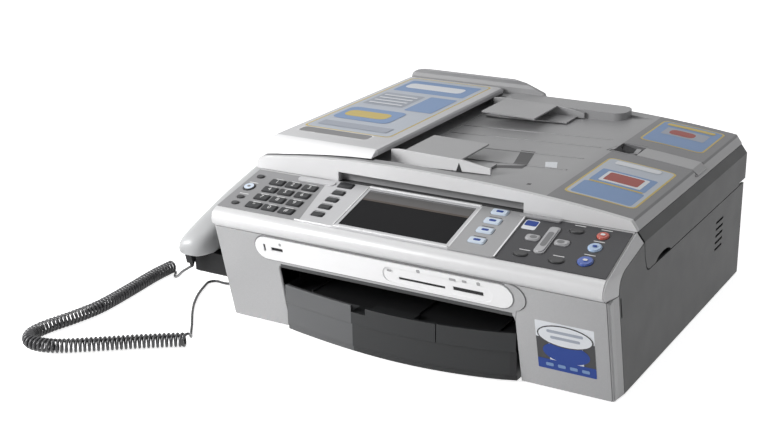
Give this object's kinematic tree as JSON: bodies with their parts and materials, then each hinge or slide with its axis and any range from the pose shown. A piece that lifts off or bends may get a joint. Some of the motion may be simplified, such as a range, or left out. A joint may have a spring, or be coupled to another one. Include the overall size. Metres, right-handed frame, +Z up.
{
  "type": "fax machine",
  "caption": "Tabletop fax machine with flatbed scanner, sheet feeder, tilting display, paper tray and a corded handset in a side cradle.",
  "frame": {"origin": "centre of the footprint on the table, handset included, free cord left out", "axes": "+X to the user's right across the front, +Y from the front to the back, +Z up"},
  "size_m": [0.5371, 0.5127, 0.177],
  "materials": {
    "silver_plastic": "satin silver",
    "pale_plastic": "satin",
    "grey_plastic": "fine matte",
    "charcoal_plastic": "fine textured",
    "black_plastic": "satin",
    "key_field": "satin",
    "dark_keys": "satin",
    "red_key": "translucent gloss",
    "light_blue_key": "translucent gloss",
    "blue_key": "translucent gloss",
    "display_glass": "gloss",
    "scan_glass": "clear",
    "white_pad": "matte",
    "roller_rubber": "matte",
    "steel": "plated",
    "circuit_board": "satin",
    "cartridge": "satin",
    "cord_jacket": "satin"
  },
  "bodies": {
    "chassis": {"base_pan": "black_plastic", "body_case": "charcoal_plastic", "front_cover": "silver_plastic", "card_bezel": "pale_plastic", "control_panel": "silver_plastic", "key_fields": "key_field", "centre_plate": "silver_plastic", "handset_cradle": "black_plastic", "print_frame": "steel", "main_board": "circuit_board", "ink_cartridges": "cartridge", "rubber_feet": "roller_rubber", "rear_sockets": "black_plastic", "curly_cord": "cord_jacket", "cord_handset_tail": "cord_jacket", "cord_machine_tail": "cord_jacket", "machine_plug": "black_plastic"},
    "handset": {"handset_shell": "pale_plastic", "handset_face": "black_plastic", "handset_plug": "black_plastic"},
    "hook": {"hook_switch": "black_plastic"},
    "ink_door": {"ink_cover": "silver_plastic"},
    "display": {"lcd_housing": "silver_plastic", "lcd_window": "display_glass"},
    "scanner": {"scanner_frame": "charcoal_plastic", "scanner_glass": "scan_glass"},
    "scan_bar": {"scan_carriage": "black_plastic"},
    "lid": {"document_cover": "grey_plastic", "platen_pad": "white_pad"},
    "feeder_door": {"adf_cover": "pale_plastic"},
    "feeder_shaft": {"adf_feed_roller": "roller_rubber"},
    "front_guide": {"adf_guide_front": "silver_plastic"},
    "rear_guide": {"adf_guide_rear": "silver_plastic"},
    "document_stop": {"output_flap": "silver_plastic"},
    "tray": {"paper_tray": "charcoal_plastic", "tray_cover": "charcoal_plastic"},
    "jam_door": {"rear_cover": "charcoal_plastic"},
    "print_head": {"print_carriage": "charcoal_plastic"},
    "feed_shaft": {"feed_roller": "roller_rubber"},
    "exit_shaft": {"exit_roller": "roller_rubber"},
    "b_key_1": {"key_1": "dark_keys"},
    "b_key_2": {"key_2": "dark_keys"},
    "b_key_3": {"key_3": "dark_keys"},
    "b_key_4": {"key_4": "dark_keys"},
    "b_key_5": {"key_5": "dark_keys"},
    "b_key_6": {"key_6": "dark_keys"},
    "b_key_7": {"key_7": "dark_keys"},
    "b_key_8": {"key_8": "dark_keys"},
    "b_key_9": {"key_9": "dark_keys"},
    "b_key_star": {"key_star": "dark_keys"},
    "b_key_0": {"key_0": "dark_keys"},
    "b_key_hash": {"key_hash": "dark_keys"},
    "b_stop_key": {"stop_key": "red_key"},
    "b_colour_key": {"colour_key": "light_blue_key"},
    "b_mono_key": {"mono_key": "blue_key"},
    "b_nav_vertical": {"nav_vertical": "silver_plastic"},
    "b_nav_horizontal": {"nav_horizontal": "silver_plastic"},
    "b_mode_keys": {"mode_keys": "light_blue_key"},
    "b_one_touch_keys": {"one_touch_keys": "dark_keys"},
    "b_small_keys": {"small_keys": "dark_keys"}
  },
  "joints": [
    {"name": "ink_cover_hinge", "type": "hinge", "parent": "chassis", "child": "ink_door", "pos_m": [0.186, -0.15536, 0.0071], "axis": [1, 0, 0], "range_deg": [0, 75]},
    {"name": "display_tilt", "type": "hinge", "parent": "chassis", "child": "display", "pos_m": [0.025, -0.17553, 0.12033], "axis": [1, 0, 0], "range_deg": [0, 60]},
    {"name": "scanner_lift", "type": "hinge", "parent": "chassis", "child": "scanner", "pos_m": [0.035, 0.177, 0.1035], "axis": [-1, 0, 0], "range_deg": [0, 40]},
    {"name": "scan_travel", "type": "slide", "parent": "scanner", "child": "scan_bar", "axis": [1, 0, 0], "range_m": [0, 0.295]},
    {"name": "document_cover_hinge", "type": "hinge", "parent": "scanner", "child": "lid", "pos_m": [0.035, 0.187, 0.1383], "axis": [-1, 0, 0], "range_deg": [0, 75]},
    {"name": "feeder_cover_hinge", "type": "hinge", "parent": "lid", "child": "feeder_door", "pos_m": [-0.159, 0.039, 0.1535], "axis": [0, -1, 0], "range_deg": [0, 75]},
    {"name": "feed_pick_spin", "type": "hinge", "parent": "lid", "child": "feeder_shaft", "pos_m": [-0.083, 0.039, 0.1574], "axis": [0, 1, 0], "continuous": true},
    {"name": "guide_travel", "type": "slide", "parent": "lid", "child": "front_guide", "axis": [0, 1, 0], "range_m": [0, 0.034]},
    {"name": "guide_rear_travel", "type": "slide", "parent": "lid", "child": "rear_guide", "axis": [0, 1, 0], "range_m": [-0.034, 0]},
    {"name": "document_stop_hinge", "type": "hinge", "parent": "lid", "child": "document_stop", "pos_m": [0.2257, 0.062, 0.1429], "axis": [0, 1, 0], "range_deg": [0, 150]},
    {"name": "tray_slide", "type": "slide", "parent": "chassis", "child": "tray", "axis": [0, -1, 0], "range_m": [0, 0.2]},
    {"name": "jam_cover_hinge", "type": "hinge", "parent": "chassis", "child": "jam_door", "pos_m": [0.026, 0.1788, 0.032], "axis": [-1, 0, 0], "range_deg": [0, 85]},
    {"name": "handset_lift", "type": "slide", "parent": "chassis", "child": "handset", "axis": [0, 0, 1], "range_m": [0, 0.12], "deforming": ["cord_handset_tail"]},
    {"name": "hook_travel", "type": "slide", "parent": "chassis", "child": "hook", "axis": [0, -0.2419, 0.9703], "range_m": [-0.003, 0], "stiffness_N_per_m": 60, "springref_m": 0.002},
    {"name": "print_head_travel", "type": "slide", "parent": "chassis", "child": "print_head", "axis": [1, 0, 0], "range_m": [-0.255, 0]},
    {"name": "feed_roller_spin", "type": "hinge", "parent": "chassis", "child": "feed_shaft", "pos_m": [0.026, 0.024, 0.062], "axis": [1, 0, 0], "continuous": true},
    {"name": "exit_roller_spin", "type": "hinge", "parent": "chassis", "child": "exit_shaft", "pos_m": [0.026, -0.031, 0.062], "axis": [1, 0, 0], "continuous": true},
    {"name": "press_key_1", "type": "slide", "parent": "chassis", "child": "b_key_1", "axis": [0, 0.2554, -0.9668], "range_m": [0, 0.0012], "stiffness_N_per_m": 250, "springref_m": -0.001},
    {"name": "press_key_2", "type": "slide", "parent": "chassis", "child": "b_key_2", "axis": [0, 0.2554, -0.9668], "range_m": [0, 0.0012], "stiffness_N_per_m": 250, "springref_m": -0.001},
    {"name": "press_key_3", "type": "slide", "parent": "chassis", "child": "b_key_3", "axis": [0, 0.2554, -0.9668], "range_m": [0, 0.0012], "stiffness_N_per_m": 250, "springref_m": -0.001},
    {"name": "press_key_4", "type": "slide", "parent": "chassis", "child": "b_key_4", "axis": [0, 0.2554, -0.9668], "range_m": [0, 0.0012], "stiffness_N_per_m": 250, "springref_m": -0.001},
    {"name": "press_key_5", "type": "slide", "parent": "chassis", "child": "b_key_5", "axis": [0, 0.2554, -0.9668], "range_m": [0, 0.0012], "stiffness_N_per_m": 250, "springref_m": -0.001},
    {"name": "press_key_6", "type": "slide", "parent": "chassis", "child": "b_key_6", "axis": [0, 0.2554, -0.9668], "range_m": [0, 0.0012], "stiffness_N_per_m": 250, "springref_m": -0.001},
    {"name": "press_key_7", "type": "slide", "parent": "chassis", "child": "b_key_7", "axis": [0, 0.2554, -0.9668], "range_m": [0, 0.0012], "stiffness_N_per_m": 250, "springref_m": -0.001},
    {"name": "press_key_8", "type": "slide", "parent": "chassis", "child": "b_key_8", "axis": [0, 0.2554, -0.9668], "range_m": [0, 0.0012], "stiffness_N_per_m": 250, "springref_m": -0.001},
    {"name": "press_key_9", "type": "slide", "parent": "chassis", "child": "b_key_9", "axis": [0, 0.2554, -0.9668], "range_m": [0, 0.0012], "stiffness_N_per_m": 250, "springref_m": -0.001},
    {"name": "press_key_star", "type": "slide", "parent": "chassis", "child": "b_key_star", "axis": [0, 0.2554, -0.9668], "range_m": [0, 0.0012], "stiffness_N_per_m": 250, "springref_m": -0.001},
    {"name": "press_key_0", "type": "slide", "parent": "chassis", "child": "b_key_0", "axis": [0, 0.2554, -0.9668], "range_m": [0, 0.0012], "stiffness_N_per_m": 250, "springref_m": -0.001},
    {"name": "press_key_hash", "type": "slide", "parent": "chassis", "child": "b_key_hash", "axis": [0, 0.2554, -0.9668], "range_m": [0, 0.0012], "stiffness_N_per_m": 250, "springref_m": -0.001},
    {"name": "press_stop_key", "type": "slide", "parent": "chassis", "child": "b_stop_key", "axis": [0, 0.2554, -0.9668], "range_m": [0, 0.0012], "stiffness_N_per_m": 250, "springref_m": -0.001},
    {"name": "press_colour_key", "type": "slide", "parent": "chassis", "child": "b_colour_key", "axis": [0, 0.2554, -0.9668], "range_m": [0, 0.0012], "stiffness_N_per_m": 250, "springref_m": -0.001},
    {"name": "press_mono_key", "type": "slide", "parent": "chassis", "child": "b_mono_key", "axis": [0, 0.2554, -0.9668], "range_m": [0, 0.0012], "stiffness_N_per_m": 250, "springref_m": -0.001},
    {"name": "press_nav_vertical", "type": "slide", "parent": "chassis", "child": "b_nav_vertical", "axis": [0, 0.2554, -0.9668], "range_m": [0, 0.0012], "stiffness_N_per_m": 250, "springref_m": -0.001},
    {"name": "press_nav_horizontal", "type": "slide", "parent": "chassis", "child": "b_nav_horizontal", "axis": [0, 0.2554, -0.9668], "range_m": [0, 0.0012], "stiffness_N_per_m": 250, "springref_m": -0.001},
    {"name": "press_mode_keys", "type": "slide", "parent": "chassis", "child": "b_mode_keys", "axis": [0, 0.2554, -0.9668], "range_m": [0, 0.0012], "stiffness_N_per_m": 250, "springref_m": -0.001},
    {"name": "press_one_touch_keys", "type": "slide", "parent": "chassis", "child": "b_one_touch_keys", "axis": [0, 0.2554, -0.9668], "range_m": [0, 0.0012], "stiffness_N_per_m": 250, "springref_m": -0.001},
    {"name": "press_small_keys", "type": "slide", "parent": "chassis", "child": "b_small_keys", "axis": [0, 0.2554, -0.9668], "range_m": [0, 0.0012], "stiffness_N_per_m": 250, "springref_m": -0.001}
  ],
  "couplings": [
    {"joint": "guide_rear_travel", "follows": "guide_travel", "ratio": -1},
    {"joint": "exit_roller_spin", "follows": "feed_roller_spin", "ratio": 1.1111}
  ]
}
